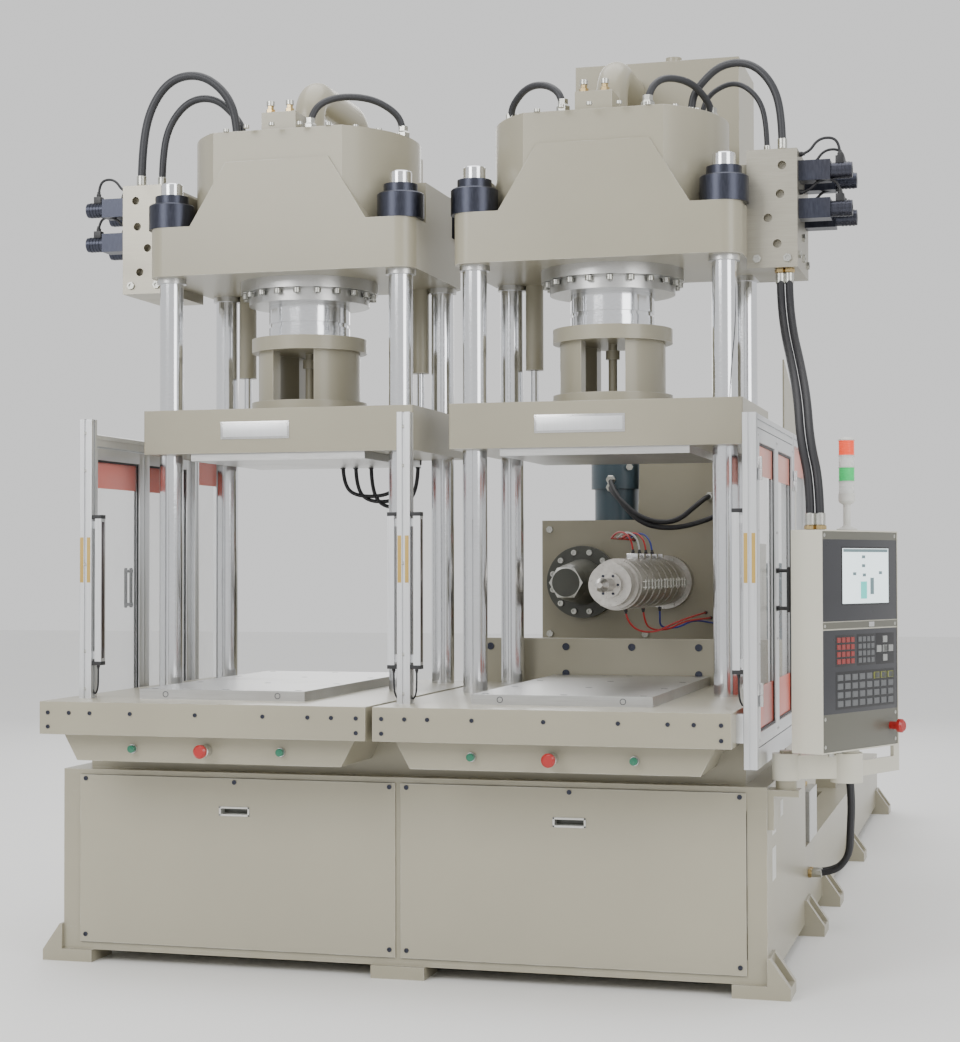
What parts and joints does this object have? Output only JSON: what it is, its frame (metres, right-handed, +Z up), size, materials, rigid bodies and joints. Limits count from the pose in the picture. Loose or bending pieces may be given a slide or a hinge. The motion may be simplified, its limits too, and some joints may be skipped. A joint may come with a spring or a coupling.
{
  "type": "injection moulding machine",
  "caption": "Two-station vertical-clamp injection moulding machine with a horizontal injection unit, side guards, light curtains and a swivelling control pendant.",
  "frame": {"origin": "underside of the middle front foot, at floor level, in the plane of the front cabinet's face", "axes": "+X towards the operator's right, along the two stations; +Y towards the back, along the injection axis; +Z up"},
  "size_m": [2.9161, 4.945, 3.151],
  "materials": {
    "machine_paint": "beige grey enamel, semi-gloss",
    "dark_paint": "dark olive grey enamel",
    "panel_paint": "beige grey powder coat",
    "ground_steel": "surface ground",
    "hard_chrome": "hard chrome, polished",
    "dark_steel": "blackened steel",
    "cylinder_steel": "honed steel",
    "guard_aluminium": "anodised extrusion",
    "white_plastic": "moulded",
    "green_plastic": "moulded",
    "red_plastic": "moulded",
    "bezel_metal": "plated",
    "black_rubber": "braided hose cover",
    "cream_paint": "cream powder coat",
    "motor_paint": "blue grey enamel",
    "heater_steel": "heat-tinted"
  },
  "bodies": {
    "machine": {"front_cabinet": "machine_paint", "rear_base": "machine_paint", "machine_feet": "machine_paint", "front_panels": "panel_paint", "panel_pulls": "white_plastic", "tables": "machine_paint", "lower_plates": "ground_steel", "button_boxes": "machine_paint", "button_bezels": "bezel_metal", "tie_bars": "hard_chrome", "column_nuts": "dark_steel", "column_collars": "ground_steel", "crossheads": "machine_paint", "cylinder_liners": "cylinder_steel", "gland_flanges": "ground_steel", "side_cylinders": "machine_paint", "manifolds": "ground_steel", "solenoid_valves": "dark_steel", "prefill_pipes": "machine_paint", "prefill_tanks": "machine_paint", "safety_posts": "guard_aluminium", "light_curtains": "guard_aluminium", "guard_frames": "guard_aluminium", "injection_bed": "machine_paint", "oil_tank": "machine_paint", "pump_motor": "motor_paint", "control_cabinet": "machine_paint", "side_screen": "machine_paint", "valve_block": "ground_steel", "top_hoses": "black_rubber", "base_hoses": "black_rubber", "pendant_cable": "black_rubber"},
    "left_clamp": {"left_platen": "machine_paint", "left_upper_plate": "ground_steel", "left_coupling": "machine_paint", "left_rams": "hard_chrome"},
    "right_clamp": {"right_platen": "machine_paint", "right_upper_plate": "ground_steel", "right_coupling": "machine_paint", "right_rams": "hard_chrome"},
    "injection_carriage": {"carriage": "machine_paint", "barrel": "heater_steel", "plasticiser": "dark_paint", "feed_motor": "motor_paint"},
    "screw_unit": {"screw_drive": "dark_paint"},
    "plasticising_screw": {"screw": "hard_chrome"},
    "arm": {"pendant_arm": "cream_paint"},
    "pendant_head": {"pendant": "cream_paint", "stack_light": "white_plastic"},
    "pendant_stop_button": {"pendant_stop": "red_plastic"},
    "left_outer_button_body": {"left_outer_button": "green_plastic"},
    "left_stop_button_body": {"left_stop_button": "red_plastic"},
    "left_inner_button_body": {"left_inner_button": "green_plastic"},
    "right_outer_button_body": {"right_outer_button": "green_plastic"},
    "right_stop_button_body": {"right_stop_button": "red_plastic"},
    "right_inner_button_body": {"right_inner_button": "green_plastic"},
    "left_front_door_body": {"left_front_door": "guard_aluminium"},
    "left_rear_door_body": {"left_rear_door": "guard_aluminium"},
    "right_front_door_body": {"right_front_door": "guard_aluminium"},
    "right_rear_door_body": {"right_rear_door": "guard_aluminium"}
  },
  "joints": [
    {"name": "left_clamp_stroke", "type": "slide", "parent": "machine", "child": "left_clamp", "axis": [0, 0, -1], "range_m": [0, 0.33]},
    {"name": "right_clamp_stroke", "type": "slide", "parent": "machine", "child": "right_clamp", "axis": [0, 0, -1], "range_m": [0, 0.33]},
    {"name": "carriage_slide", "type": "slide", "parent": "machine", "child": "injection_carriage", "axis": [0, 1, 0], "range_m": [0, 0.45]},
    {"name": "injection_stroke", "type": "slide", "parent": "injection_carriage", "child": "screw_unit", "axis": [0, 1, 0], "range_m": [0, 0.25]},
    {"name": "screw_turn", "type": "hinge", "parent": "screw_unit", "child": "plasticising_screw", "pos_m": [0.55, 2.08, 1.226], "axis": [0, 1, 0], "continuous": true},
    {"name": "left_outer_button_press", "type": "slide", "parent": "machine", "child": "left_outer_button_body", "axis": [0, 1, 0], "range_m": [0, 0.004], "stiffness_N_per_m": 900, "springref_m": -0.001},
    {"name": "left_inner_button_press", "type": "slide", "parent": "machine", "child": "left_inner_button_body", "axis": [0, 1, 0], "range_m": [0, 0.004], "stiffness_N_per_m": 900, "springref_m": -0.001},
    {"name": "left_stop_button_press", "type": "slide", "parent": "machine", "child": "left_stop_button_body", "axis": [0, 1, 0], "range_m": [0, 0.005]},
    {"name": "right_outer_button_press", "type": "slide", "parent": "machine", "child": "right_outer_button_body", "axis": [0, 1, 0], "range_m": [0, 0.004], "stiffness_N_per_m": 900, "springref_m": -0.001},
    {"name": "right_inner_button_press", "type": "slide", "parent": "machine", "child": "right_inner_button_body", "axis": [0, 1, 0], "range_m": [0, 0.004], "stiffness_N_per_m": 900, "springref_m": -0.001},
    {"name": "right_stop_button_press", "type": "slide", "parent": "machine", "child": "right_stop_button_body", "axis": [0, 1, 0], "range_m": [0, 0.005]},
    {"name": "pendant_arm_turn", "type": "hinge", "parent": "machine", "child": "arm", "pos_m": [1.205, 0.05, 0.69], "axis": [0, 0, -1], "range_deg": [-20, 24]},
    {"name": "pendant_swivel", "type": "hinge", "parent": "arm", "child": "pendant_head", "pos_m": [1.379, 0.107, 0.73], "axis": [0, 0, 1], "range_deg": [-14, 38]},
    {"name": "pendant_stop_press", "type": "slide", "parent": "pendant_head", "child": "pendant_stop_button", "axis": [-0.8988, 0.4384, 0], "range_m": [0, 0.005]},
    {"name": "left_front_door_hinge", "type": "hinge", "parent": "machine", "child": "left_front_door_body", "pos_m": [-1.158, 0.145, 1.2], "axis": [0, 0, 1], "range_deg": [0, 100]},
    {"name": "left_rear_door_hinge", "type": "hinge", "parent": "machine", "child": "left_rear_door_body", "pos_m": [-1.158, 0.965, 1.2], "axis": [0, 0, -1], "range_deg": [0, 100]},
    {"name": "right_front_door_hinge", "type": "hinge", "parent": "machine", "child": "right_front_door_body", "pos_m": [1.158, -0.16, 1.2], "axis": [0, 0, -1], "range_deg": [0, 20]},
    {"name": "right_rear_door_hinge", "type": "hinge", "parent": "machine", "child": "right_rear_door_body", "pos_m": [1.158, 0.77, 1.2], "axis": [0, 0, 1], "range_deg": [0, 100]}
  ]
}
